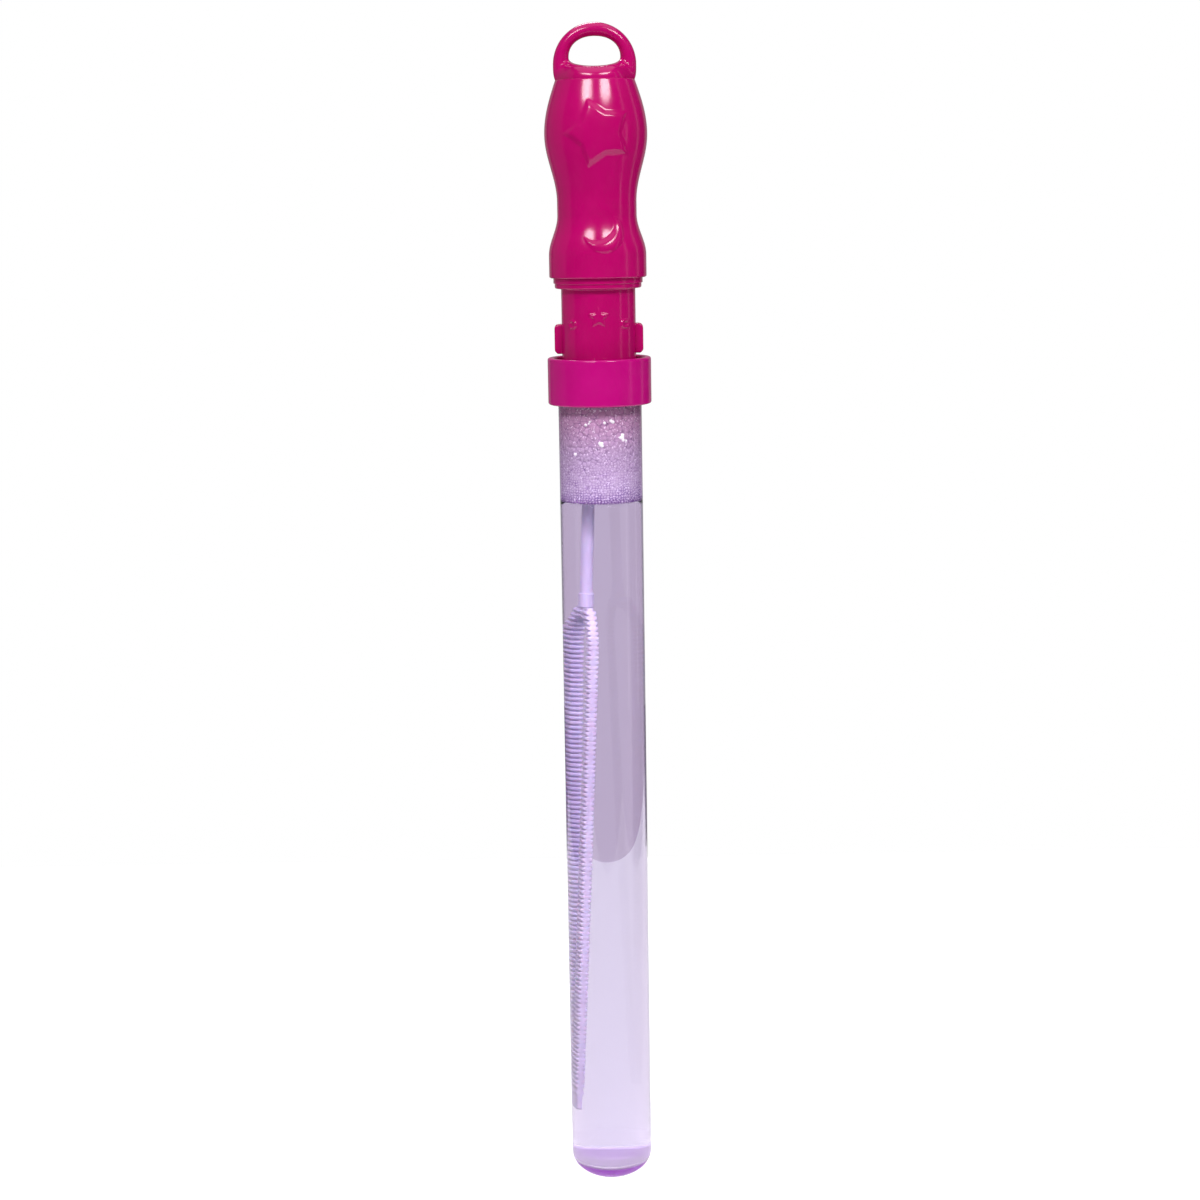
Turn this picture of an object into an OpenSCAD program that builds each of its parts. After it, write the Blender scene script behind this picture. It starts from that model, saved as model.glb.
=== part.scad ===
// Bubble wand: a clear tube of bubble solution, closed by a handle that carries a long ribbed loop.
// The tube stands along +Z with its closed end at the bottom. The front, with the star and the
// moon, faces -Y. All sizes are in millimetres.

/* [Tube] */
// Outer diameter of the clear tube
tube_d = 26.2; // [24:0.1:30]
// Wall of the tube
tube_wall = 1.05; // [0.8:0.05:1.6]
// Height of the tube from its foot to its rim
tube_h = 261.7; // [200:0.5:320]
// Height of the domed end
dome_h = 8.6; // [7:0.1:11]
// Height of the inside floor over the foot
floor_h = 7; // [6:0.1:12]
// Diameter of the dished mark under the dome
punt_d = 12; // [8:0.5:15]
// Depth of the dished mark
punt_depth = 1.6; // [0.8:0.1:2.5]
// How far the snap bead stands out from the tube
bead_out = 0.6; // [0.3:0.05:1]
// Height of the snap bead
bead_h = 2.4; // [1.6:0.1:3.2]
// Distance from the rim down to the middle of the bead
bead_drop = 3.4; // [2.6:0.1:4.6]
// How far the tube steps in where the collar goes on
mouth_step = 0.2; // [0.1:0.05:0.3]

/* [Collar] */
// Wall of the collar round the tube
collar_wall = 3.25; // [2.8:0.05:5]
// How far the collar reaches down below the bead
collar_skirt = 2.1; // [1.5:0.1:6]
// How far the collar stands above the rim of the tube
collar_rise = 7.9; // [6.5:0.1:10]
// Rounding of the collar's outer edges
collar_edge = 1.1; // [0.4:0.1:1.4]
// Width of the rim round the open mouth in the collar's top
mouth_rim = 2.05; // [1.8:0.05:2.4]
// Depth of the open mouth
mouth_depth = 3.4; // [2:0.1:4]
// Thickness of the gasket under the collar's ledge
gasket_t = 1.5; // [1:0.1:2]

/* [Neck] */
// Gap between the neck and the tube's bore
neck_gap = 0.45; // [0.35:0.05:0.8]
// Wall of the hollow neck
neck_wall = 2.4; // [2:0.1:2.8]
// How far the neck and its end plug reach down into the tube
plug_depth = 6.8; // [5.5:0.1:14]
// Free height of the neck between the collar and the lip
neck_free_h = 21.5; // [18:0.5:30]
// How far the lip under the grip stands out from the neck
lip_out = 1.95; // [1:0.05:3]
// Height of the lip
lip_h = 3.3; // [2:0.1:5]
// Length of the spigot that goes up into the grip
spigot_h = 12; // [8:0.5:16]
// Wall of the spigot
spigot_wall = 1.6; // [1:0.1:2]
// Depth of the groove that holds the seal ring
groove_depth = 1.55; // [1.2:0.05:1.6]
// Height of the seal ring's middle above the neck's foot
seal_rise = 2; // [1.9:0.1:3]

/* [Neck relief] */
// How far the two side lugs stand out from the neck
lug_out = 2.3; // [1.5:0.1:2.4]
// Height of a lug
lug_h = 9.3; // [6:0.1:12]
// Thickness of a lug
lug_t = 3.6; // [2:0.1:5]
// Gap between the collar's top and the lugs
lug_gap = 1.2; // [0.4:0.1:3]
// Rounding of a lug's upper corner, and the bevel of its lower one
lug_corner = 1.3; // [0.5:0.1:1.8]
// Diameter of a raised ring pip
pip_d = 3.2; // [2:0.1:4]
// Diameter of the hollow in a pip
pip_hole_d = 1.4; // [0.8:0.1:1.8]
// Angle of the pips from the front
pip_angle = 45; // [30:1:60]
// Height of the pips above the collar
pip_rise = 10.7; // [8:0.1:14]
// Outer radius of the small star
neck_star_r = 3.8; // [2.5:0.1:5]
// Height of the small star's middle above the collar
neck_star_rise = 12.8; // [10:0.1:16]
// How far the neck's relief stands out
neck_relief = 0.45; // [0.2:0.05:0.8]

/* [Grip] */
// Height of the grip
grip_h = 60.4; // [50:0.2:80]
// Wall of the hollow grip
grip_wall = 1.8; // [1.2:0.1:2.4]
// Diameter of the upper swell
upper_d = 31.9; // [29:0.1:36]
// Height of the upper swell above the grip's foot
upper_rise = 44; // [40:0.2:48]
// Diameter of the waist
waist_d = 24.7; // [24:0.1:28]
// Height of the middle of the waist
waist_rise = 21.3; // [18:0.1:25]
// Length of the straight part of the waist
waist_len = 4; // [1:0.1:6]
// How far the lower swell stands out from the lip
lower_out = 1.65; // [0.5:0.05:3.5]
// Height of the straight foot of the lower swell
lower_rise = 6.8; // [4:0.1:9]
// Diameter of the crown where the hanging loop sits
crown_d = 24.6; // [22:0.1:26]
// Bevel of the grip's lower edge
grip_edge = 0.7; // [0.3:0.1:1.2]
// How far the star and the moon stand out
relief = 0.7; // [0.3:0.05:1.2]
// Outer radius of the star
star_r = 11.5; // [8:0.1:13]
// Radius of the star's inner corners
star_inner_r = 7.4; // [5:0.1:8]
// Sideways offset of the star
star_shift = 0.9; // [0:0.1:2]
// Radius of the moon
moon_r = 5.8; // [4:0.1:6.5]
// Radius of the bite that makes the moon a crescent
moon_bite_r = 4.9; // [3.5:0.1:5]
// Distance from the moon's middle to the bite's middle
moon_bite_shift = 3.3; // [2:0.1:4.5]
// Direction of the bite, turned from the right towards the top
moon_bite_angle = 122; // [90:1:160]
// Height of the moon's middle above the grip's foot
moon_rise = 13.6; // [10:0.1:16]
// Sideways offset of the moon
moon_shift = 1.8; // [0:0.1:3]

/* [Hanging loop] */
// Width across the loop
loop_d = 25.7; // [22:0.1:28]
// Thickness of the loop's bar, seen from the front
loop_bar = 4.9; // [3.5:0.1:6]
// Height of the loop's middle above the grip
loop_rise = 4.55; // [3:0.05:7]
// Height of the flat floor of the loop's hole above the grip
saddle_h = 4.3; // [3:0.1:6]
// Diameter of the spigot under the loop
loop_spigot_d = 12; // [8:0.5:15]
// Length of that spigot
loop_spigot_h = 5; // [3:0.5:8]

/* [Wand] */
// Diameter of the stem
stem_d = 3.1; // [2.6:0.1:4]
// Diameter of the ferrule at the stem's lower end
ferrule_d = 3.8; // [3.4:0.1:5]
// Length of the ferrule
ferrule_h = 4.5; // [3:0.1:7]
// Distance from the rim of the tube down to the bottom of the ferrule
ferrule_drop = 71.2; // [50:0.2:110]
// Height of the loop's tip above the tube's floor
tip_rise = 16; // [4:0.2:60]
// Gap between the loop's tip and the tube's bore
tip_gap = 0.3; // [0.2:0.05:6]
// Gap between the widest part of the loop and the tube's bore
blade_gap = 0.8; // [0.5:0.05:3]
// Width at the flat tip
tip_w = 5.6; // [4:0.1:7]
// Length of the curved shoulder
shoulder_h = 11; // [6:0.5:16]
// Width of each rail
rail_w = 3.4; // [2.4:0.1:3.8]
// Thickness over the ribs
blade_t = 3.4; // [2.6:0.1:3.6]
// Thickness between the ribs
core_t = 2.1; // [1.4:0.1:2.4]
// Spacing of the ribs
rib_pitch = 1.55; // [1.2:0.05:3]
// Thickness of a rib at its root
rib_root = 1; // [0.6:0.05:1.1]
// Diameter of the round tang that joins the loop to the stem
tang_d = 1.8; // [1.4:0.1:2]
// Turn of the loop's plane from straight front to back
blade_turn = 11.5; // [0:0.5:15]
// Sideways offset of the stem's socket
socket_shift = 2.1; // [0:0.1:2.4]

/* [Contents] */
// Distance from the rim of the tube down to the solution's surface
head_room = 37; // [28:0.5:60]
// Room that the solution leaves round the wand
wand_room = 1.6; // [0.6:0.1:2]

/* [Hidden] */
$fn = 72;
// Clearance of pieces that are pressed together
press_gap = 0.05;
// Clearance of the tube in the collar
snap_gap = 0.1;
// Gap between the collar's foot and the step in the tube
step_gap = 0.5;
// Room beside the seal ring in its groove
groove_gap = 0.2;
// Gap between the foam and the end plug
foam_gap = 0.3;
// Overrun of cuts
cut = 1;
// Steps of a curve in an outline
steps = 10;
// Flange of the end plug, and the length of its spigot
plug_flange_t = 1.6;
plug_spigot_h = 6.4;
// How far the stem goes up past the socket's middle
stem_up = 6;
// Length of the tang inside the ferrule
tang_h = 3.6;
// Slope of a rib's side
rib_slope = 0.15;
// Bare stretches of the loop above the first rib and below the last
rib_margin = 3;
// Bridge of the loop at its tip
tip_bridge = 6;
// Points of the stars, and the small star's inner radius as a share of the outer one
star_points = 5;
neck_star_inner_share = 0.5;
// Rounding of the mouth's inner edge as a share of the outer edges'
mouth_edge_share = 0.5;

tube_r = tube_d / 2;
bore_r = tube_r - tube_wall;
mouth_r = tube_r - mouth_step;
punt_r = punt_d / 2;
dome_z = dome_h * sqrt(1 - pow(punt_r / tube_r, 2));
bead_z = tube_h - bead_drop;
fill_z = tube_h - head_room;

collar_bore_r = mouth_r + snap_gap;
collar_r = collar_bore_r + collar_wall;
collar_mouth_r = collar_r - mouth_rim;
mouth_edge = collar_edge * mouth_edge_share;
collar_z1 = tube_h + collar_rise;
collar_z0 = bead_z - bead_h / 2 - collar_skirt;
step_z = collar_z0 - step_gap;
ledge_z0 = tube_h + gasket_t;
ledge_z1 = collar_z1 - mouth_depth;

neck_r = bore_r - neck_gap;
lip_r = neck_r + lip_out;
neck_bore_r = neck_r - neck_wall;
plug_z = tube_h - plug_depth;
neck_z0 = plug_z + plug_flange_t;
lip_z0 = collar_z1 + neck_free_h;
grip_z0 = lip_z0 + lip_h;
spigot_r = neck_bore_r + spigot_wall;
groove_r = neck_r - groove_depth;
seal_z = neck_z0 + seal_rise;
seal_d = bore_r - groove_r - 2 * press_gap;
seal_ring_r = groove_r + press_gap + seal_d / 2;
lug_z = collar_z1 + lug_gap;
plug_flange_r = neck_r - press_gap;

grip_z1 = grip_z0 + grip_h;
lower_r = lip_r + lower_out;
waist_r = waist_d / 2;
upper_r = upper_d / 2;
crown_r = crown_d / 2;
lower_z = grip_z0 + lower_rise;
waist_z0 = grip_z0 + waist_rise - waist_len / 2;
waist_z1 = grip_z0 + waist_rise + waist_len / 2;
upper_z = grip_z0 + upper_rise;

loop_z = grip_z1 + loop_rise;
saddle_z = grip_z1 + saddle_h;
loop_ring_r = (loop_d - loop_bar) / 2;
loop_spigot_r = loop_spigot_d / 2;
saddle_r = crown_r - press_gap;

// The wand's own frame has its origin at the middle of the socket and hangs down along -Z
socket_z = plug_z + (plug_flange_t + plug_spigot_h) / 2;
stem_drop = socket_z - (tube_h - ferrule_drop);
stem_r = stem_d / 2;
ferrule_r = ferrule_d / 2;
tang_r = tang_d / 2;
// The loop's tip comes up to its gap from the bore, which sets how far the wand leans
tip_z = floor_h + tip_rise;
tip_reach = blade_t / 2 * cos(blade_turn) + tip_w / 2 * sin(blade_turn);
tip_shift = sqrt(pow(bore_r - tip_gap, 2) + pow(tip_reach, 2) - pow(blade_t / 2, 2) - pow(tip_w / 2, 2)) - tip_reach;
wand_lean = atan((tip_shift - socket_shift) / (socket_z - tip_z));
loop_len = (socket_z - tip_z) / cos(wand_lean) - stem_drop;
// The loop's widest part is a chord of the bore, less its gap
shoulder_shift = socket_shift + (stem_drop + shoulder_h) * sin(wand_lean);
chord_off = shoulder_shift * cos(blade_turn) + blade_t / 2;
blade_w = 2 * (sqrt(pow(bore_r - blade_gap, 2) - pow(chord_off, 2)) - shoulder_shift * sin(blade_turn));
gap_len = loop_len - shoulder_h - tip_bridge;
rib_count = floor((loop_len - shoulder_h / 2 - 2 * rib_margin) / rib_pitch);

// Points of a circle's arc about c
function arc_points(c, r, from, to) =
    [for (i = [0:steps]) c + r * [cos(from + (to - from) * i / steps), sin(from + (to - from) * i / steps)]];

// Points of an ellipse's lower quarter, from the side down to where the radius is r_end
function dome_points(r, h, z, r_end) =
    let (a_end = acos(r_end / r))
    [for (i = [0:steps]) [r * cos(a_end * i / steps), z - h * sin(a_end * i / steps)]];

// A smooth step between two radii, level at both ends
function wave_points(r0, r1, z0, z1) =
    [for (i = [0:steps]) [r0 + (r1 - r0) * (1 - cos(180 * i / steps)) / 2, z0 + (z1 - z0) * i / steps]];

// A crown that starts level at r0 and closes in to r1
function crown_points(r0, r1, z0, z1) =
    [for (i = [0:steps]) [r1 + (r0 - r1) * cos(90 * i / steps), z0 + (z1 - z0) * i / steps]];

// The grip's side from its foot to its crown
grip_side = concat(
    [[lower_r - grip_edge, grip_z0], [lower_r, grip_z0 + grip_edge]],
    wave_points(lower_r, waist_r, lower_z, waist_z0),
    wave_points(waist_r, upper_r, waist_z1, upper_z),
    [for (i = [1:steps]) crown_points(upper_r, crown_r, upper_z, grip_z1)[i]]);

function grown(points, by) = [for (p = points) [p[0] + by, p[1]]];
function reversed(points) = [for (i = [len(points) - 1:-1:0]) points[i]];
function both_sides(points) = concat(points, reversed([for (p = points) [-p[0], p[1]]]));

// Radius of a five-pointed star at its k-th corner
function star_outline(outer, inner, start) =
    [for (k = [0:2 * star_points - 1])
        let (a = start + 180 * k / star_points, r = k % 2 == 0 ? outer : inner)
        [r * cos(a), r * sin(a)]];

// Half width of the ribbed loop at a distance s below its top
function blade_half(s) =
    s < shoulder_h
        ? ferrule_r + (blade_w / 2 - ferrule_r) * sin(90 * s / shoulder_h)
        : blade_w / 2 - (blade_w - tip_w) / 2 * (s - shoulder_h) / (loop_len - shoulder_h);

// One side of the loop's outline, from its top to its tip
blade_side = concat(
    [for (i = [0:steps]) [blade_half(shoulder_h * i / steps), -shoulder_h * i / steps]],
    [[tip_w / 2, -loop_len]]);

// Half width of the loop's gap, and where it begins and ends
function gap_half(s) = max(blade_half(s) - rail_w, 0);
gap_s0 = shoulder_h * (1 - 1 / steps);
gap_s1 = shoulder_h + gap_len;
gap_corner = rail_w / 4;

module tube() {
    color([0.86, 0.8, 0.93, 0.5])
    difference() {
        rotate_extrude()
        polygon(concat(
            [[0, punt_depth], [punt_r / 2, punt_depth]],
            reversed(dome_points(tube_r, dome_h, dome_z, punt_r)),
            [[tube_r, step_z], [mouth_r, step_z],
             [mouth_r, bead_z - bead_h / 2], [mouth_r + bead_out, bead_z], [mouth_r, bead_z + bead_h / 2],
             [mouth_r, tube_h], [0, tube_h]]));
        translate([0, 0, floor_h]) cylinder(r = bore_r, h = tube_h);
    }
}

module collar() {
    color([0.78, 0, 0.49])
    rotate_extrude()
    polygon(concat(
        [[collar_bore_r, collar_z0]],
        arc_points([collar_r - collar_edge, collar_z0 + collar_edge], collar_edge, -90, 0),
        arc_points([collar_r - collar_edge, collar_z1 - collar_edge], collar_edge, 0, 90),
        arc_points([collar_mouth_r + mouth_edge, collar_z1 - mouth_edge], mouth_edge, 90, 180),
        [[collar_mouth_r, ledge_z1], [bore_r, ledge_z1], [bore_r, ledge_z0], [collar_bore_r, ledge_z0],
         [collar_bore_r, bead_z + bead_h / 2], [collar_bore_r + bead_out, bead_z],
         [collar_bore_r, bead_z - bead_h / 2]]));
}

module mouth_gasket() {
    color([0.93, 0.92, 0.95])
    translate([0, 0, tube_h])
    difference() {
        cylinder(r = mouth_r, h = gasket_t);
        translate([0, 0, -cut]) cylinder(r = bore_r, h = gasket_t + 2 * cut);
    }
}

module plug_seal() {
    color([0.9, 0.9, 0.93])
    translate([0, 0, seal_z]) rotate_extrude() translate([seal_ring_r, 0]) circle(d = seal_d);
}

// A lug's face, with a round upper corner and a bevelled lower one
module lug_face() {
    reach = neck_r + lug_out;
    polygon(concat(
        [[neck_bore_r + neck_wall / 2, lug_z], [reach - lug_corner, lug_z], [reach, lug_z + lug_corner]],
        arc_points([reach - lug_corner, lug_z + lug_h - lug_corner], lug_corner, 0, 90),
        [[neck_bore_r + neck_wall / 2, lug_z + lug_h]]));
}

module lugs() {
    for (side = [0, 180])
        rotate([0, 0, side]) rotate([90, 0, 0]) linear_extrude(lug_t, center = true) lug_face();
}

// Raised ring pips, four round the neck
module pips() {
    for (turn = [-pip_angle, pip_angle, 180 - pip_angle, 180 + pip_angle])
        translate([0, 0, collar_z1 + pip_rise]) rotate([90, 0, turn])
        difference() {
            cylinder(d = pip_d, h = neck_r + neck_relief);
            translate([0, 0, neck_r]) cylinder(d = pip_hole_d, h = neck_r);
            cylinder(d = 2 * pip_d, h = neck_r - neck_wall / 2);
        }
}

// A small star on the front and the back of the neck
module neck_stars() {
    intersection() {
        for (side = [0, 180])
            rotate([0, 0, side]) translate([0, 0, collar_z1 + neck_star_rise]) rotate([90, 0, 0])
            linear_extrude(2 * neck_r)
            polygon(star_outline(neck_star_r, neck_star_r * neck_star_inner_share, 90));
        translate([0, 0, collar_z1])
        difference() {
            cylinder(r = neck_r + neck_relief, h = neck_free_h);
            translate([0, 0, -cut]) cylinder(r = neck_r - neck_wall / 2, h = neck_free_h + 2 * cut);
        }
    }
}

module neck() {
    color([0.71, 0, 0.42])
    union() {
        rotate_extrude()
        polygon([
            [neck_bore_r, neck_z0], [neck_r, neck_z0],
            [neck_r, seal_z - seal_d / 2 - groove_gap], [groove_r, seal_z - seal_d / 2 - groove_gap],
            [groove_r, seal_z + seal_d / 2 + groove_gap], [neck_r, seal_z + seal_d / 2 + groove_gap],
            [neck_r, lip_z0], [lip_r, lip_z0], [lip_r, grip_z0],
            [spigot_r, grip_z0], [spigot_r, grip_z0 + spigot_h], [neck_bore_r, grip_z0 + spigot_h]]);
        lugs();
        pips();
        neck_stars();
    }
}

// The wand's own frame: at the socket, leaning to the left as it goes down
module wand_place() {
    translate([-socket_shift, 0, socket_z]) rotate([0, wand_lean, 0]) children();
}

module end_plug() {
    color([0.71, 0, 0.42])
    difference() {
        translate([0, 0, plug_z])
        union() {
            cylinder(r = plug_flange_r, h = plug_flange_t);
            cylinder(r = neck_bore_r - press_gap, h = plug_flange_t + plug_spigot_h);
        }
        wand_place() cylinder(r = stem_r + press_gap, h = 2 * plug_spigot_h, center = true);
    }
}

module wand_stem() {
    color([0.83, 0.77, 0.93])
    wand_place()
    difference() {
        union() {
            translate([0, 0, -stem_drop]) cylinder(r = stem_r, h = stem_drop + stem_up);
            translate([0, 0, -stem_drop]) cylinder(r = ferrule_r, h = ferrule_h);
        }
        translate([0, 0, -stem_drop - cut]) cylinder(r = tang_r + press_gap, h = tang_h + press_gap + cut);
    }
}

// The loop's outline with its long gap
module blade_face() {
    difference() {
        polygon(both_sides(blade_side));
        polygon(both_sides([
            [gap_corner, -gap_s0], [gap_half(shoulder_h), -shoulder_h - gap_corner],
            [gap_half(gap_s1), -gap_s1]]));
    }
}

// The loop's ribbed side, seen edge on
module rib_side() {
    right = concat(
        [[core_t / 2, 0]],
        [for (i = [0:rib_count - 1])
            let (s = shoulder_h / 2 + rib_margin + i * rib_pitch)
            each [[core_t / 2, -s], [blade_t / 2, -s - rib_slope],
                  [blade_t / 2, -s - rib_root + rib_slope], [core_t / 2, -s - rib_root]]],
        [[core_t / 2, -loop_len]]);
    polygon(both_sides(right));
}

module ribbed_loop() {
    color([0.83, 0.77, 0.93])
    wand_place() translate([0, 0, -stem_drop]) rotate([0, 0, blade_turn])
    union() {
        intersection() {
            rotate([90, 0, 90]) linear_extrude(blade_t + 2 * cut, center = true) blade_face();
            rotate([90, 0, 0]) linear_extrude(blade_w + 2 * cut, center = true) rib_side();
        }
        translate([0, 0, -tang_h]) cylinder(r = tang_r, h = 2 * tang_h);
    }
}

// The space that the solution leaves round the wand
module wand_pocket() {
    wand_place() {
        translate([0, 0, -stem_drop - cut]) cylinder(r = ferrule_r + wand_room / 2, h = 2 * stem_drop);
        translate([0, 0, -stem_drop]) rotate([0, 0, blade_turn]) rotate([90, 0, 90])
        linear_extrude(blade_t + 2 * wand_room, center = true)
        polygon(both_sides([
            [ferrule_r + wand_room, wand_room], [blade_w / 2 + wand_room, -shoulder_h / 2],
            [blade_w / 2 + wand_room, -shoulder_h], [tip_w / 2 + wand_room, -loop_len - wand_room]]));
    }
}

module bubble_solution() {
    color([0.8, 0.72, 0.88, 0.6])
    difference() {
        translate([0, 0, floor_h]) cylinder(r = bore_r - press_gap, h = fill_z - floor_h);
        wand_pocket();
    }
}

module foam_head() {
    color([0.88, 0.8, 0.95, 0.8])
    difference() {
        translate([0, 0, fill_z]) cylinder(r = bore_r - press_gap, h = plug_z - foam_gap - fill_z);
        wand_pocket();
    }
}

// A band that follows the grip's side, from inside its wall to the top of the relief
module relief_band() {
    rotate_extrude()
    polygon(concat(grown(grip_side, relief), reversed(grown(grip_side, -grip_wall / 2))));
}

module moon_face() {
    difference() {
        circle(r = moon_r);
        translate(moon_bite_shift * [cos(moon_bite_angle), sin(moon_bite_angle)]) circle(r = moon_bite_r);
    }
}

// The star and the moon on one side of the grip
module grip_emblems() {
    rotate([90, 0, 0]) linear_extrude(upper_d) {
        translate([star_shift, upper_z]) polygon(star_outline(star_r, star_inner_r, 180));
        translate([moon_shift, grip_z0 + moon_rise]) moon_face();
    }
}

module grip() {
    inner = [for (p = grip_side) if (p[1] > grip_z0 + grip_wall && p[1] < grip_z1 - grip_wall)
             [p[0] - grip_wall, p[1]]];
    color([0.75, 0, 0.41])
    union() {
        rotate_extrude()
        polygon(concat(
            [[spigot_r + press_gap, grip_z0]], grip_side,
            [[loop_spigot_r + press_gap, grip_z1], [loop_spigot_r + press_gap, grip_z1 - grip_wall],
             [inner[len(inner) - 1][0], grip_z1 - grip_wall]],
            reversed(inner),
            [[lower_r - grip_wall, grip_z0 + grip_wall], [spigot_r + press_gap, grip_z0 + grip_wall]]));
        intersection() {
            relief_band();
            for (side = [0, 180]) rotate([0, 0, side]) grip_emblems();
        }
    }
}

module hanging_loop() {
    color([0.78, 0.05, 0.44])
    union() {
        intersection() {
            translate([0, 0, loop_z]) rotate([90, 0, 0])
            rotate_extrude() translate([loop_ring_r, 0]) circle(d = loop_bar);
            translate([0, 0, grip_z1 + loop_d]) cube(2 * loop_d, center = true);
        }
        rotate_extrude()
        polygon(concat(
            [[0, grip_z1 - loop_spigot_h], [loop_spigot_r, grip_z1 - loop_spigot_h],
             [loop_spigot_r, grip_z1]],
            [for (i = [0:steps]) [saddle_r - saddle_h / 2 * (1 - cos(90 * i / steps)),
                                  grip_z1 + saddle_h * sin(90 * i / steps)]],
            [[0, saddle_z]]));
    }
}

tube();
collar();
mouth_gasket();
bubble_solution();
foam_head();
plug_seal();
neck();
end_plug();
wand_stem();
ribbed_loop();
grip();
hanging_loop();
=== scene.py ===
# %% [markdown]
# # A bubble wand
# A clear lilac tube holds soapy solution with foam on top. A pink handle closes the tube and carries a
# long ribbed loop that stands in the solution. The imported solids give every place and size; this lesson
# lays the finished surfaces over them, piece by piece, in the same frame.

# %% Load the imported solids
import math

import bpy
import numpy as np
from mathutils import Matrix, Vector


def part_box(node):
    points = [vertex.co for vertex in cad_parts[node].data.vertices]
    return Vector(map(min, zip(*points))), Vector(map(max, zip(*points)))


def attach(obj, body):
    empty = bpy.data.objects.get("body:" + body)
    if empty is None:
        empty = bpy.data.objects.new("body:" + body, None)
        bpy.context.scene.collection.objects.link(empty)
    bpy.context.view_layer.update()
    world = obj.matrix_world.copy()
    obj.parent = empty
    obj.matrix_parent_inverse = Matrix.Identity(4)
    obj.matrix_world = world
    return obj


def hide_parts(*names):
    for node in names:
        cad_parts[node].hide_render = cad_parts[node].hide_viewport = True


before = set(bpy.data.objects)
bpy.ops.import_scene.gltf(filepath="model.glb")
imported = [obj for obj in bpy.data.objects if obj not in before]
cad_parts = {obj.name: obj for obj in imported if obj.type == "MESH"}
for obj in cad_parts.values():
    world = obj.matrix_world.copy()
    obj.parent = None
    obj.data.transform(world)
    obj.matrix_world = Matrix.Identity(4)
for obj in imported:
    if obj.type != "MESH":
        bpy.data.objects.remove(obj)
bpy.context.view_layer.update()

MM = 0.001  # one millimetre in Blender's metres
scene = bpy.context.scene
scene.view_settings.view_transform = "Standard"


def span(node):
    """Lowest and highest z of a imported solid, in millimetres."""
    low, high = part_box(node)
    return round(low[2] / MM, 3), round(high[2] / MM, 3)


print("solids:", ", ".join(sorted(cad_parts)))

# %% [markdown]
# ## The camera
# The tube narrows towards its foot in the picture, and its ellipses open downwards, so the camera stands
# a little above the middle and looks down. A long lens from under a metre away gives that narrowing.
# The camera is placed by its aim, its pitch and its distance, which are easier to judge than a position.

# %% Place the camera
AIM = Vector((-0.0010, 0.0, 0.1922))  # the point of the wand at the middle of the picture
PITCH = math.radians(9.5)  # how far the camera looks down
DISTANCE = 0.776
ROLL = math.radians(0.93)  # the wand leans a little to the left in the picture
LENS_MM = 72.9

camera_data = bpy.data.cameras.new("photo_camera")
camera_data.lens = LENS_MM
camera_data.clip_start = 0.01
camera = bpy.data.objects.new("photo_camera", camera_data)
scene.collection.objects.link(camera)
away = Vector((0.0, -math.cos(PITCH), math.sin(PITCH)))
facing = away.to_track_quat("Z", "Y").to_matrix().to_4x4()
camera.matrix_world = Matrix.Translation(AIM + away * DISTANCE) @ facing @ Matrix.Rotation(-ROLL, 4, "Z")
scene.camera = camera
print("camera at", [round(v, 3) for v in camera.matrix_world.translation])

# %% [markdown]
# ## Skins from grids
# Every moulding here is a smooth skin, so each one is written as a grid of points: rows along a profile
# and columns around an axis. Modelling by hand would do as well, but a formula keeps the sizes readable
# and lets a curve be as fine as the picture needs.


# %% A grid becomes a skin
def skin(grid, closed=False):
    """Quads between neighbouring points of a rows x columns x 3 grid whose columns run all the way round.
    closed also joins the last row to the first; otherwise a fan to its mean point closes each end row."""
    rows, cols = grid.shape[:2]
    points = grid.reshape(-1, 3)
    row = np.arange(rows if closed else rows - 1)[:, None]
    col = np.arange(cols)[None, :]
    here, there, side = row * cols, (row + 1) % rows * cols, (col + 1) % cols
    quads = np.stack([here + col, here + side, there + side, there + col], axis=-1).reshape(-1, 4)
    faces = quads.tolist()
    if not closed:
        ring, turn, last = col[0], side[0], (rows - 1) * cols
        first_hub = np.full(cols, len(points))
        points = np.concatenate([points, grid[:1].mean(axis=1), grid[-1:].mean(axis=1)])
        faces += np.stack([turn, ring, first_hub], axis=-1).tolist()
        faces += np.stack([last + ring, last + turn, first_hub + 1], axis=-1).tolist()
    return points, faces


def inside_volume(points, faces):
    """Sum over all faces of the signed volume between the face and the origin, positive for outward faces."""
    fans = np.array([(f[0], f[k], f[k + 1]) for f in faces for k in range(1, len(f) - 1)])
    a, b, c = points[fans[:, 0]], points[fans[:, 1]], points[fans[:, 2]]
    return float(np.einsum("ij,ij->i", a, np.cross(b, c)).sum() / 6)


# %% [markdown]
# A piece may hold several skins, such as a row of beads. They go into one mesh, turned outwards where a
# skin came out inside out, and the object stays at the origin with its place in the mesh. Clear pieces cast
# no shadow: the renderer would otherwise keep the lamps from everything inside the tube.


# %% A skin becomes a piece of the wand
CLEAR_FINISHES = []  # filled in below, where the clear finishes are made


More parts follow.
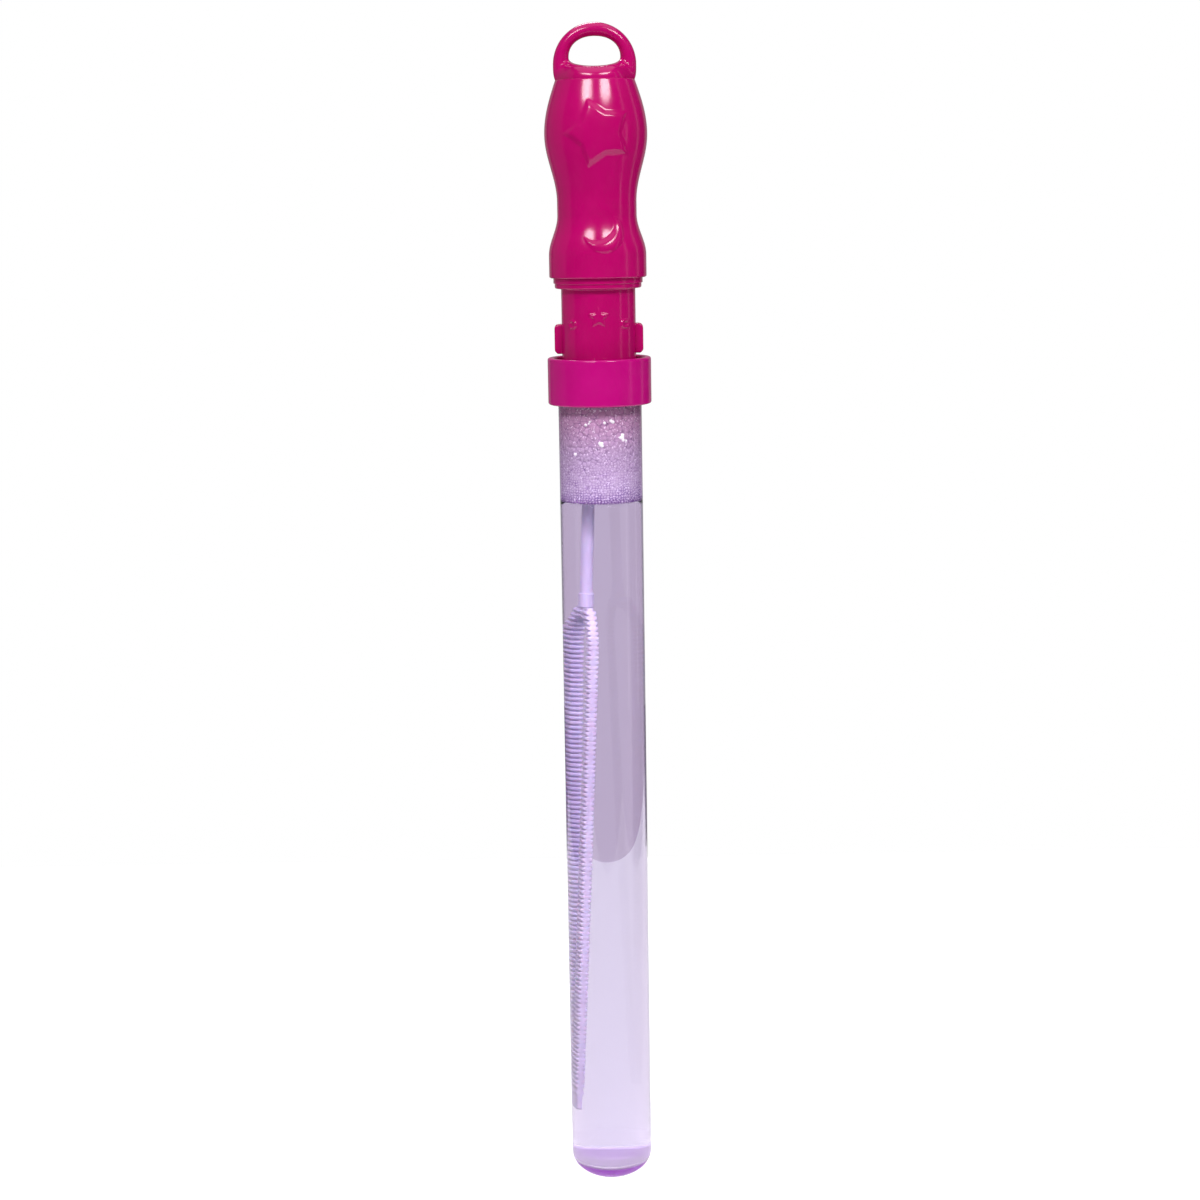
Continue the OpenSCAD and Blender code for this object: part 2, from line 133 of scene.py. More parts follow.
def make_piece(name, skins, body, material, nodes=()):
    """Joins skins given in millimetres into one smooth mesh that rides a body and stands for its nodes."""
    all_points, all_faces, volume = [], [], 0.0
    for points, faces in skins:
        inside = inside_volume(points, faces)
        start = sum(len(p) for p in all_points)
        flip = -1 if inside < 0 else 1
        all_points.append(points)
        all_faces += [[start + corner for corner in face[::flip]] for face in faces]
        volume += abs(inside)
    mesh = bpy.data.meshes.new(name)
    mesh.from_pydata((np.concatenate(all_points) * MM).tolist(), [], all_faces)
    mesh.shade_smooth()
    mesh.materials.append(material)
    piece = bpy.data.objects.new(name, mesh)
    scene.collection.objects.link(piece)
    piece.visible_shadow = material not in CLEAR_FINISHES
    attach(piece, body)
    if nodes:
        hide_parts(*nodes)
    print(f"{name}: {len(all_faces)} faces, {volume / 1000:.2f} cm3 of skin volume")
    return piece


def add_attribute(piece, name, values):
    """One number for each vertex of the piece."""
    layer = piece.data.attributes.new(name, "FLOAT", "POINT")
    layer.data.foreach_set("value", np.asarray(values, np.float32))


# %% [markdown]
# Moulded plastic has no knife edges. A profile is written with its few real corners, each corner gives
# way to a short curve, and long straight runs get extra points so that the shading stays even.


# %% Profiles and turned shapes
def rounded(corners, radii, closed=False, steps=7):
    """Each corner of a polyline gives way to a quadratic curve from one radius before it to one after it."""
    p = np.asarray(corners, float)
    before, after = np.roll(p, 1, axis=0) - p, np.roll(p, -1, axis=0) - p
    reach_before = np.linalg.norm(before, axis=1, keepdims=True)
    reach_after = np.linalg.norm(after, axis=1, keepdims=True)
    radius = np.broadcast_to(np.asarray(radii, float).reshape(-1, 1), reach_before.shape)
    radius = np.minimum(radius, 0.48 * np.minimum(reach_before, reach_after))
    start, end = p + before / reach_before * radius, p + after / reach_after * radius
    if not closed:
        start[0], end[0], start[-1], end[-1] = p[0], p[0], p[-1], p[-1]
    t = np.linspace(0, 1, steps)[None, :, None]
    curve = (1 - t) ** 2 * start[:, None] + 2 * t * (1 - t) * p[:, None] + t**2 * end[:, None]
    points = curve.reshape(-1, 2)
    moved = np.linalg.norm(points - np.roll(points, 1, axis=0), axis=1) > 1e-4
    return points[moved]


def refined(profile, step, closed=False):
    """Splits every stretch of a polyline into equal parts no longer than step."""
    ends = np.roll(profile, -1, axis=0) if closed else profile[1:]
    starts = profile if closed else profile[:-1]
    count = np.ceil(np.linalg.norm(ends - starts, axis=1) / step).astype(int)
    stretch = np.repeat(np.arange(len(count)), count)
    part = np.arange(count.sum()) - np.repeat(np.cumsum(count) - count, count)
    t = (part / count[stretch])[:, None]
    points = starts[stretch] * (1 - t) + ends[stretch] * t
    return points if closed else np.concatenate([points, profile[-1:]])


def turned(profile, sides=144, closed=False):
    """Carries an (r, z) profile round the z axis: x = r cos a, y = r sin a."""
    a = np.linspace(0, 2 * np.pi, sides, endpoint=False)
    r, z = profile[:, :1], profile[:, 1:]
    return skin(np.stack([r * np.cos(a), r * np.sin(a), z + 0 * a], axis=-1), closed)


def half_wave(t):
    """Half a cosine wave that rises from 0 to 1 as t goes from 0 to 1, and is level outside that range."""
    return (1 - np.cos(np.pi * np.clip(t, 0, 1))) / 2


# %% [markdown]
# ## Finishes
# Plastic is never one flat colour: the tint drifts a little, the gloss varies and the mould leaves a fine
# orange peel. Each finish is built from noise on the piece's own Object coordinates, so it stays put
# when the piece moves, and every number that is the same all over sits on the shader's own socket.


# %% Building blocks of a finish
def finish_start(name):
    """A new material with its shader and its Object coordinates."""
    material = bpy.data.materials.new(name)
    material.use_nodes = True
    tree = material.node_tree
    where = tree.nodes.new("ShaderNodeTexCoord").outputs["Object"]
    return material, tree, tree.nodes["Principled BSDF"], where


def drift(tree, where, scale, detail=2.0, stretch=(1, 1, 1)):
    """Noise of the given scale per metre, with the coordinates stretched first."""
    mapping = tree.nodes.new("ShaderNodeMapping")
    mapping.inputs["Scale"].default_value = stretch
    tree.links.new(where, mapping.inputs["Vector"])
    noise = tree.nodes.new("ShaderNodeTexNoise")
    noise.inputs["Scale"].default_value = scale
    noise.inputs["Detail"].default_value = detail
    tree.links.new(mapping.outputs["Vector"], noise.inputs["Vector"])
    return noise.outputs["Fac"]


def ramp_along(tree, field, stops):
    """A colour ramp over a field, from a list of places and colours."""
    ramp = tree.nodes.new("ShaderNodeValToRGB")
    elements = ramp.color_ramp.elements
    for element, (place, colour) in zip([elements[0], elements[1]], (stops[0], stops[-1])):
        element.position, element.color = place, (*colour, 1)
    for place, colour in stops[1:-1]:
        elements.new(place).color = (*colour, 1)
    tree.links.new(field, ramp.inputs["Fac"])
    return ramp.outputs["Color"]


def blend_colours(tree, field, low, high, low_at=0.3, high_at=0.7):
    """A ramp from one colour to another over a field."""
    return ramp_along(tree, field, [(low_at, low), (high_at, high)])


def attribute_field(tree, name):
    """The number that a piece keeps on its vertices under this name."""
    node = tree.nodes.new("ShaderNodeAttribute")
    node.attribute_name = name
    return node.outputs["Fac"]


def spread(tree, field, low, high):
    """Carries a field from 0.3..0.7 to low..high."""
    node = tree.nodes.new("ShaderNodeMapRange")
    node.inputs["From Min"].default_value = 0.3
    node.inputs["From Max"].default_value = 0.7
    node.inputs["To Min"].default_value = low
    node.inputs["To Max"].default_value = high
    tree.links.new(field, node.inputs["Value"])
    return node.outputs["Result"]


def add_bump(tree, shader, field, strength, depth):
    """A shallow relief from a field, in metres of depth."""
    bump = tree.nodes.new("ShaderNodeBump")
    bump.inputs["Strength"].default_value = strength
    bump.inputs["Distance"].default_value = depth
    tree.links.new(field, bump.inputs["Height"])
    tree.links.new(bump.outputs["Normal"], shader.inputs["Normal"])


def add_absorption(material, colour, density):
    """Light fades inside the piece by density times one minus the colour, per metre."""
    tree = material.node_tree
    volume = tree.nodes.new("ShaderNodeVolumeAbsorption")
    volume.inputs["Color"].default_value = (*colour, 1)
    volume.inputs["Density"].default_value = density
    tree.links.new(volume.outputs["Volume"], tree.nodes["Material Output"].inputs["Volume"])


# %% [markdown]
# The handle is glossy magenta, the collar a shade pinker and satin with faint marks from the mould's
# lathe. The wand is pale lilac and slightly waxy, and the hidden seals are a soft pale rubber.


# %% Opaque finishes
def plastic(name, dark, light, gloss, peel, stretch=(1, 1, 1)):
    """A moulded plastic: two close tints, a range of roughness and a fine peel."""
    material, tree, shader, where = finish_start(name)
    tint = drift(tree, where, 70, 3.0)
    tree.links.new(blend_colours(tree, tint, dark, light), shader.inputs["Base Color"])
    tree.links.new(spread(tree, drift(tree, where, 240), *gloss), shader.inputs["Roughness"])
    add_bump(tree, shader, drift(tree, where, 420, 3.0, stretch), peel, 0.0002)
    shader.inputs["IOR"].default_value = 1.5
    return material


GLOSSY_PINK = plastic("glossy_pink", (0.49, 0.0003, 0.130), (0.54, 0.0006, 0.150), (0.13, 0.20), 0.03)
SATIN_PINK = plastic("satin_pink", (0.54, 0.0005, 0.195), (0.60, 0.001, 0.225), (0.16, 0.24), 0.06, (1, 1, 6))
PALE_LILAC = plastic("pale_lilac", (0.57, 0.47, 0.70), (0.65, 0.56, 0.78), (0.30, 0.42), 0.05)
SEAL_RUBBER = plastic("seal_rubber", (0.66, 0.63, 0.72), (0.74, 0.71, 0.80), (0.55, 0.70), 0.10)
PALE_LILAC.node_tree.nodes["Principled BSDF"].inputs["Subsurface Weight"].default_value = 0.15
PALE_LILAC.node_tree.nodes["Principled BSDF"].inputs["Subsurface Scale"].default_value = 0.001
print("opaque finishes: 4")

# %% [markdown]
# The tube is tinted in the mass: the thick domed end is deep violet while the thin wall hardly shows a
# colour. Absorption in the volume gives both from one finish. The solution fades light far less.


# %% Clear finishes
def clear(name, ior, colour, density, peel):
    """A see-through finish: light bends at its skin and fades inside it."""
    material, tree, shader, where = finish_start(name)
    shader.inputs["Base Color"].default_value = (1, 1, 1, 1)
    shader.inputs["Transmission Weight"].default_value = 1.0
    shader.inputs["IOR"].default_value = ior
    tree.links.new(spread(tree, drift(tree, where, 160), 0.0, 0.02), shader.inputs["Roughness"])
    add_bump(tree, shader, drift(tree, where, 130, 2.0), peel, 0.0002)
    add_absorption(material, colour, density)
    return material


CLEAR_LILAC = clear("clear_lilac", 1.49, (0.58, 0.0, 0.76), 75.0, 0.004)
SOLUTION = clear("solution", 1.33, (0.25, 0.21, 0.71), 12.0, 0.002)
CLEAR_FINISHES += [CLEAR_LILAC, SOLUTION]
print("clear finishes:", len(CLEAR_FINISHES))

# %% [markdown]
# The domed foot is so thick that light wanders about in it and comes back out as a milky violet, and the
# floor above it is slightly frosted, with a painted highlight, a near-white line, along its rounded corner.
# Following every such path would take long, so an attribute called body says where the plastic gives a
# part of the light back, and two ramps turn it into that part's colour and the share that still passes
# through.

# %% The milky foot
# The corner's value gives a near-white painted highlight along the floor's rounded corner.
BODY_FLOOR, BODY_CORNER_HIGHLIGHT, BODY_CLEAR, BODY_DOME = 0.0, 0.25, 0.5, 1.0  # values of the attribute
BODY_COLOURS = (
    (BODY_FLOOR, (0.58, 0.52, 0.61)), (BODY_CORNER_HIGHLIGHT, (0.95, 0.93, 0.98)),
    (BODY_CLEAR, (1, 1, 1)), (BODY_DOME, (0.38, 0.08, 0.54)),
)
CLEAR_SHARES = ((BODY_FLOOR, 0.45), (BODY_CORNER_HIGHLIGHT, 0.5), (BODY_CLEAR, 1.0), (BODY_DOME, 0.35))

foot_tree = CLEAR_LILAC.node_tree
foot_shader = foot_tree.nodes["Principled BSDF"]
foot_body = attribute_field(foot_tree, "body")
body_colour = ramp_along(foot_tree, foot_body, BODY_COLOURS)
clear_share = ramp_along(foot_tree, foot_body, [(at, (share, share, share)) for at, share in CLEAR_SHARES])
foot_tree.links.new(body_colour, foot_shader.inputs["Base Color"])
foot_tree.links.new(clear_share, foot_shader.inputs["Transmission Weight"])
print("places in the foot with a finish of their own:", len(BODY_COLOURS) - 1)

# %% [markdown]
# ## The tube
# One clear moulding: a straight barrel, a thick floor, and a domed end with a dished mark under it. Its
# mouth steps in under the collar and has a bead that the collar snaps over. A single profile, from the
# dished mark up the outside, over the rim and down the bore to the floor, turns into the whole tube.

# %% Turn the tube
TUBE_R, BORE_R, MOUTH_R = 13.1, 12.05, 12.9
TUBE_TOP = span("tube")[1]
STEP_Z, BEAD_Z = TUBE_TOP - 7.2, TUBE_TOP - 3.4
FLOOR_Z, FILL_Z = span("bubble_solution")
DOME_H, PUNT_R, PUNT_DEPTH = 8.6, 6.0, 1.6
BEAD_H, BEAD_OUT = 2.4, 0.6
AXIS_GAP = 0.05  # a turned end stops this far from the axis and closes with a fan
FLOOR_SINK, FLOOR_FILLET = 1.4, 0.7  # the real floor is thinner than the solid's
THICK_LOW, THICK_HIGH = 5.0, 6.0  # between these heights the foot's milky look fades out
TUBE_SIDES = 192

FLOOR_SEEN = FLOOR_Z - FLOOR_SINK
dome_z = DOME_H * math.sqrt(1 - (PUNT_R / TUBE_R) ** 2)
mark_r = np.linspace(AXIS_GAP, PUNT_R, 12)
mark = np.stack([mark_r, PUNT_DEPTH * (1 - (mark_r / PUNT_R) ** 2)], axis=-1)
lean = np.linspace(math.asin(PUNT_R / TUBE_R), np.pi / 2, 30)[1:]
dome = np.stack([TUBE_R * np.sin(lean), dome_z - DOME_H * np.cos(lean)], axis=-1)
upper = rounded(
    [
        (TUBE_R, dome_z + 0.5),
        (TUBE_R, STEP_Z),
        (MOUTH_R, STEP_Z + 0.3),
        (MOUTH_R, BEAD_Z - BEAD_H / 2),
        (MOUTH_R + BEAD_OUT, BEAD_Z),
        (MOUTH_R, BEAD_Z + BEAD_H / 2),
        (MOUTH_R, TUBE_TOP),
        (BORE_R, TUBE_TOP),
        (BORE_R, FLOOR_SEEN),
        (AXIS_GAP, FLOOR_SEEN),
    ],
    [0, 0.2, 0.1, 0.3, 0.8, 0.3, 0.3, 0.3, FLOOR_FILLET, 0],
    steps=14,
)
tube_profile = refined(np.concatenate([mark, dome, upper]), 1.0)
tube_skin = turned(tube_profile, TUBE_SIDES)
clear_tube = make_piece("clear_tube", [tube_skin], "tube_body", CLEAR_LILAC, ["tube"])

tube_row, profile_r, profile_z = np.arange(len(tube_profile)), tube_profile[:, 0], tube_profile[:, 1]
rim_row = np.argmax(profile_z)
on_dome = (tube_row >= len(mark)) & (tube_row < rim_row)
in_corner = (tube_row > rim_row) & (profile_z < FLOOR_SEEN + FLOOR_FILLET)
on_floor = in_corner & (profile_r < BORE_R - FLOOR_FILLET)
thick = half_wave(profile_z / 2.0) * (1 - half_wave((profile_z - THICK_LOW) / (THICK_HIGH - THICK_LOW)))
body = BODY_CLEAR + (BODY_DOME - BODY_CLEAR) * np.where(on_dome, thick, 0)
# The rows of the floor's rounded corner get the painted highlight.
body = np.where(on_floor, BODY_FLOOR, np.where(in_corner, BODY_CORNER_HIGHLIGHT, body))
add_attribute(clear_tube, "body", np.concatenate([np.repeat(body, TUBE_SIDES), [BODY_CLEAR, BODY_FLOOR]]))

# %% [markdown]
# ## The solution
# The liquid fills the tube to the fill line and climbs the wall a little there. Its skin reaches a
# fraction of a millimetre into the plastic, so no film of air shines between the two.

# %% Fill the tube
OVERLAP = 0.3
MENISCUS = 0.3

side = rounded(
    [
        (AXIS_GAP, FLOOR_SEEN - OVERLAP),
        (BORE_R + OVERLAP, FLOOR_SEEN - OVERLAP),
        (BORE_R + OVERLAP, FILL_Z + MENISCUS),
    ],
    [0, FLOOR_FILLET, 0],
    steps=14,
)
inward = np.linspace(0, 1, 24)[1:]
climb = np.exp(-inward * 6)
surface = np.stack([(BORE_R + OVERLAP) * (1 - inward) + AXIS_GAP, FILL_Z + MENISCUS * climb], axis=-1)
solution_skin = turned(refined(np.concatenate([side, surface]), 2.0), TUBE_SIDES)
make_piece("solution_column", [solution_skin], "tube_body", SOLUTION, ["bubble_solution"])

# %% [markdown]
# ## The foam head
# Shaking leaves foam between the solution and the neck. Its bubbles are fine just above the solution and
# grow towards the top, where they drain. Thousands of balls would be heavy, so the body is one skin: seed
# points are strewn over the unrolled wall, and each point of the skin rises into a dome about its nearest
# seed. How near a point lies to the films between cells is kept as an attribute, for a painted shade there.

# %% Strew the seeds of the foam cells
FOAM_R, FOAM_TOP = BORE_R + 0.05, span("foam_head")[1]  # the wet cells cling to the wall
CELL_SMALL, CELL_LARGE = 0.90, 2.0  # spacing of the seeds at the foot and at the top
SEEDS_LOST = 0.45  # share of the seeds left out at the top, where bubbles have run together
FOAM_FOOT = FILL_Z - 0.3
strew = np.random.default_rng(7)


def cell_width(z):
    """Cells keep their small width over the lower third and then widen by the same share per millimetre."""
    t = np.clip(((z - FOAM_FOOT) / (FOAM_TOP - FOAM_FOOT) - 0.33) / 0.67, 0, 1)
    return CELL_SMALL * (CELL_LARGE / CELL_SMALL) ** t


def strew_row(z):
    """Seeds of one row round the wall, each shifted by chance, more with height, and some left out."""
    width, up = cell_width(z), np.clip((z - FOAM_FOOT) / (FOAM_TOP - FOAM_FOOT), 0, 1)
    count = int(2 * np.pi * FOAM_R / width)
    shift = 0.5 + 0.5 * up
    along = (np.arange(count) + strew.uniform(0.0, shift, count)) * 2 * np.pi * FOAM_R / count
    row = np.stack([along, z + strew.uniform(-0.5, 0.5, count) * shift * width], axis=-1)
    return row[strew.random(count) > SEEDS_LOST * up]


foam_rows = [FOAM_FOOT]
while foam_rows[-1] < FOAM_TOP:
    foam_rows.append(foam_rows[-1] + 0.87 * cell_width(foam_rows[-1]))
seeds = np.concatenate([strew_row(z) for z in foam_rows])
print("foam cells:", len(seeds), "in", len(foam_rows), "rows")

# %% Raise a dome over each seed
FOAM_COLS, FOAM_ROWS = 440, 190
CELL_RISE, RISE_MAX = 0.25, 0.3  # height of a dome as a share of its cell's width, and at most
# The films between cells carry a painted shade; these are the widths of that painted shade.
FILM_SHADE_FOOT, FILM_SHADE_TOP = 0.45, 0.28  # width of the films between cells at the foot and at the top


def cell_field(along, z):
    """For a row of points on the unrolled wall: the nearest seed's distance, and how much farther the next
    seed is, both as shares of the cell's width. The second is nought on the films between cells."""
    around = 2 * np.pi * FOAM_R
    gap = np.abs(along[:, None] - seeds[None, :, 0])
    gap = np.minimum(gap, around - gap)
    far = np.hypot(gap, z - seeds[None, :, 1])
    two = np.sort(np.partition(far, 1, axis=1)[:, :2], axis=1) / cell_width(z)
    return two[:, 0], two[:, 1] - two[:, 0]


foam_a = np.linspace(0, 2 * np.pi, FOAM_COLS, endpoint=False)
foam_z = np.linspace(FOAM_FOOT, FOAM_TOP, FOAM_ROWS)
fields = np.array([cell_field(foam_a * FOAM_R, z) for z in foam_z])
nearest, film_gap = fields[:, 0], fields[:, 1]
foam_up = (foam_z[:, None] - FOAM_FOOT) / (FOAM_TOP - FOAM_FOOT)
film_shade_w = FILM_SHADE_TOP + (FILM_SHADE_FOOT - FILM_SHADE_TOP) * (1 - half_wave(foam_up / 0.3))
film_shade = 1 - half_wave(film_gap * cell_width(foam_z)[:, None] / film_shade_w)
dome_rise = np.sqrt(np.clip(1 - (nearest / 0.8) ** 2, 0, 1))
rise = np.minimum(CELL_RISE * cell_width(foam_z)[:, None], RISE_MAX) * dome_rise
foam_r = FOAM_R + rise
foam_up_z = foam_z[:, None] + 0 * foam_a
foam_grid = np.stack([foam_r * np.cos(foam_a), foam_r * np.sin(foam_a), foam_up_z], axis=-1)

# %% [markdown]
# Wet foam is milky: light enters each bubble and comes back out tinted. Near the solution the films carry a
# dark violet painted shade, in the middle the foam is almost white, and towards the top it carries a painted
# pink reflection of the neck above it. Attributes carry the films' painted shade and the height, so the
# colour follows the cells exactly. Fine noise adds painted glints.


# %% Foam finish
def mix_colours(tree, share, first, second):
    """The first colour where the share is 0, the second where it is 1."""
    mix = tree.nodes.new("ShaderNodeMix")
    mix.data_type = "RGBA"
    tree.links.new(share, mix.inputs["Factor"])
    for colour, socket in ((first, mix.inputs[6]), (second, mix.inputs[7])):
        tree.links.new(colour, socket)
    return mix.outputs[2]


# The glints are painted highlights, drawn from fine noise.
PAINTED_GLINT_AT = (0.66, 0.78)  # where the fine noise turns into glints


def foam_finish():
    """Pale domes with a painted reflection of the pink neck at the top, painted shade on films, painted
    glints.
    """
    material, tree, shader, where = finish_start("wet_foam")
    height = attribute_field(tree, "height")
    # Towards the top the domes take a painted pink reflection of the neck above them.
    domes_and_neck_reflection = ramp_along(tree, height, [
        (0.0, (0.52, 0.38, 0.63)), (0.15, (0.61, 0.49, 0.68)), (0.5, (0.51, 0.38, 0.56)),
        (0.8, (0.47, 0.27, 0.43)), (1.0, (0.50, 0.25, 0.42)),
    ])
    # Painted shade on the films between cells: dark violet at the foot, paler up the foam, pinkish at the
    # top.
    film_shade_colours = ramp_along(tree, height, [
        (0.0, (0.06, 0.01, 0.17)), (0.06, (0.13, 0.05, 0.28)), (0.2, (0.26, 0.15, 0.40)),
        (0.45, (0.28, 0.18, 0.34)), (1.0, (0.20, 0.10, 0.20)),
    ])
    # A noise lets the painted shade on the films fade in places.
    film_shade_share = tree.nodes.new("ShaderNodeMath")
    film_shade_share.operation = "MULTIPLY"
    tree.links.new(attribute_field(tree, "film_shade"), film_shade_share.inputs[0])
    tree.links.new(spread(tree, drift(tree, where, 330, 2.0), 0.35, 1.1), film_shade_share.inputs[1])
    cells_and_film_shade = mix_colours(tree, film_shade_share.outputs["Value"], domes_and_neck_reflection, film_shade_colours)
    # Fine noise paints white specks: painted highlights on the bubbles.
    painted_glint = blend_colours(tree, drift(tree, where, 2000, 0.0), (0, 0, 0), (1, 1, 1), *PAINTED_GLINT_AT)
    # The painted glints are pinker at the top, a painted reflection of the neck.
    bright = ramp_along(tree, height, [(0.0, (0.85, 0.76, 0.95)), (1.0, (0.82, 0.66, 0.80))])
    tree.links.new(mix_colours(tree, painted_glint, cells_and_film_shade, bright), shader.inputs["Base Color"])
    tree.links.new(spread(tree, drift(tree, where, 500), 0.08, 0.2), shader.inputs["Roughness"])
    shader.inputs["IOR"].default_value = 1.33
    return material


WET_FOAM = foam_finish()
foam_body = make_piece("foam_body", [skin(foam_grid)], "tube_body", WET_FOAM, ["foam_head"])
add_attribute(foam_body, "film_shade", np.concatenate([film_shade.ravel(), [0, 0]]))
add_attribute(foam_body, "height", np.concatenate([(foam_up + 0 * foam_a).ravel(), [0, 1]]))

# %% [markdown]
# A few larger bubbles have come up through the foam in small clusters; their white colour is a painted
# highlight. Along the fill line small dark violet ones lie in rows. They are plain balls of a few dozen
# faces, set on the wall.

# %% Add the single bubbles
CLUSTERS = (  # azimuth from the front in degrees, height above the fill line, number of bubbles
    (34, 20.0, 8), (2, 18.2, 4), (-17, 24.5, 3), (16, 25.0, 3),
    (-40, 16.0, 2), (110, 21.0, 5), (200, 18.0, 6),
)
BUBBLE_R = (0.3, 0.7)
CLUSTER_TURN, CLUSTER_RISE = 0.06, 0.7  # how far a cluster spreads, in radians round and millimetres up


def ball(middle, radius, rows=6, cols=10):
    """Rows of latitude and columns of longitude about a middle point."""
    up = np.linspace(-np.pi / 2, np.pi / 2, rows + 2)[1:-1, None]
    a = np.linspace(0, 2 * np.pi, cols, endpoint=False)
    shell = np.stack([np.cos(up) * np.cos(a), np.cos(up) * np.sin(a), np.sin(up) + 0 * a], axis=-1)
    return skin(np.asarray(middle) + radius * shell)


def cluster_balls(azimuth, height, count):
    """Balls strewn about one place on the wall, azimuth from the front and height above the fill line."""
    a = math.radians(azimuth - 90) + strew.normal(0, CLUSTER_TURN, count)
    z = FILL_Z + height + strew.normal(0, CLUSTER_RISE, count)
    size = strew.uniform(*BUBBLE_R, count)
    return [ball((FOAM_R * math.cos(u), FOAM_R * math.sin(u), v), r) for u, v, r in zip(a, z, size)]


def bead_row(height, spacing, radius, turn):
    """A ring of balls along the wall at a height above the fill line, each shifted a little by chance."""
    count = int(2 * np.pi * FOAM_R / spacing)
    a = (np.arange(count) + turn + strew.uniform(-0.2, 0.2, count)) * 2 * np.pi / count
    z = FILL_Z + height + strew.uniform(-0.12, 0.12, count)
    size = radius * strew.uniform(0.8, 1.1, count)
    return [ball((FOAM_R * math.cos(u), FOAM_R * math.sin(u), v), r, 4, 7) for u, v, r in zip(a, z, size)]


# White balls: a painted highlight standing in for the glints of the larger bubbles.
PAINTED_GLINT_WHITE = plastic("painted_glint_white", (0.96, 0.94, 0.99), (1.0, 0.99, 1.0), (0.04, 0.10), 0.02)
bubbles = sum((cluster_balls(*cluster) for cluster in CLUSTERS), [])
make_piece("painted_glint_bubbles", bubbles, "tube_body", PAINTED_GLINT_WHITE)
VIOLET_FILM = plastic("violet_film", (0.06, 0.014, 0.14), (0.32, 0.17, 0.45), (0.05, 0.12), 0.02)
beads = bead_row(0.30, 1.0, 0.40, 0.0) + bead_row(0.95, 1.15, 0.34, 0.5)
make_piece("fill_line_beads", beads, "tube_body", VIOLET_FILM)

# %% [markdown]
# ## The collar and its gasket
# A plain satin ring is snapped over the tube's bead. It stands open on top round the neck, and a thin
# gasket under its ledge seals on the tube's rim. Both are closed profiles turned once round.

# %% Turn the collar
COLLAR_R, COLLAR_BORE, COLLAR_MOUTH_R = 16.25, 13.0, 14.2
COLLAR_FOOT, COLLAR_TOP = span("collar")
GASKET_LOW, GASKET_HIGH = span("mouth_gasket")
LEDGE_LOW, LEDGE_HIGH, LEDGE_R = GASKET_HIGH, COLLAR_TOP - 3.4, 12.1
COLLAR_EDGE = 0.8

collar_profile = rounded(
    [
        (COLLAR_R, COLLAR_FOOT),
        (COLLAR_R, COLLAR_TOP),
        (COLLAR_MOUTH_R, COLLAR_TOP),
        (COLLAR_MOUTH_R, LEDGE_HIGH),
        (LEDGE_R, LEDGE_HIGH),
        (LEDGE_R, LEDGE_LOW),
        (COLLAR_BORE + 0.2, LEDGE_LOW),
        (COLLAR_BORE + 0.2, COLLAR_FOOT),
    ],
    [0.8, COLLAR_EDGE, 0.7, 0.4, 0.3, 0.3, 0.3, 0.3],
    closed=True,
)
collar_skin = turned(refined(collar_profile, 1.0, closed=True), 192, closed=True)
make_piece("collar_ring", [collar_skin], "tube_body", SATIN_PINK, ["collar"])
gasket_profile = rounded(
    [
        (COLLAR_BORE, GASKET_LOW),
        (COLLAR_BORE, GASKET_HIGH),
        (LEDGE_R, GASKET_HIGH),
        (LEDGE_R, GASKET_LOW),
    ],
    0.3,
    closed=True,
)
gasket_skin = turned(gasket_profile, 96, closed=True)
make_piece("gasket_ring", [gasket_skin], "tube_body", SEAL_RUBBER, ["mouth_gasket"])

# %% [markdown]
# ## The neck
# The neck is the handle's hollow stopper. It carries a two-step lip under the grip, two lugs that stop on
# the collar, four ring pips and a small star. The wall is a turned profile whose radius gets a relief: a
# star outline measured by its distance, and a ring for each pip.


# %% Outlines and their distances
def star_outline(outer, inner, turn):
    """Ten corners at turn + 36 degrees each, on the outer and the inner circle by turns."""
    a = turn + np.arange(10) * np.pi / 5
    r = np.where(np.arange(10) % 2 == 0, outer, inner)
    return np.stack([r * np.cos(a), r * np.sin(a)], axis=-1)


def depth_inside(x, z, corners):
    """Distance to the nearest edge of an outline, positive inside by the even-odd rule."""
    near, inside = np.full(x.shape, np.inf), np.zeros(x.shape, bool)
    for (ax, az), (bx, bz) in zip(corners, np.roll(corners, -1, axis=0)):
        ex, ez = bx - ax, bz - az
        t = np.clip(((x - ax) * ex + (z - az) * ez) / (ex**2 + ez**2), 0, 1)
        near = np.minimum(near, np.hypot(x - ax - t * ex, z - az - t * ez))
        crosses = (az > z) != (bz > z)
        inside ^= crosses & (x < ax + (z - az) * ex / (ez if ez else 1e-9))
    return np.where(inside, near, -near)


def shoulder(depth, width):
    """A quarter sine from the outline up to a level top, width inside it."""
    return np.sin(np.pi / 2 * np.clip(depth / width, 0, 1))


# %% Shape the neck's wall
NECK_R, NECK_BORE, NECK_FOOT = 11.6, 9.2, span("neck")[0]
LIP_R, LIP_TOP_R, LIP_TOP = 13.55, 13.95, span("grip")[0]
LIP_FOOT, LIP_STEP = LIP_TOP - 3.3, LIP_TOP - 1.7
SEAL_Z, GROOVE_H, GROOVE_R = sum(span("plug_seal")) / 2, 2.2, 10.1
SMALL_STAR_R, SMALL_STAR_Z, SMALL_RELIEF = 3.8, COLLAR_TOP + 12.8, 0.45
PIP_R, PIP_Z, PIP_WALL, PIP_STRETCH = 1.05, COLLAR_TOP + 10.7, 0.6, 0.75
PIP_ANGLES = np.radians([-135, -45, 45, 135])

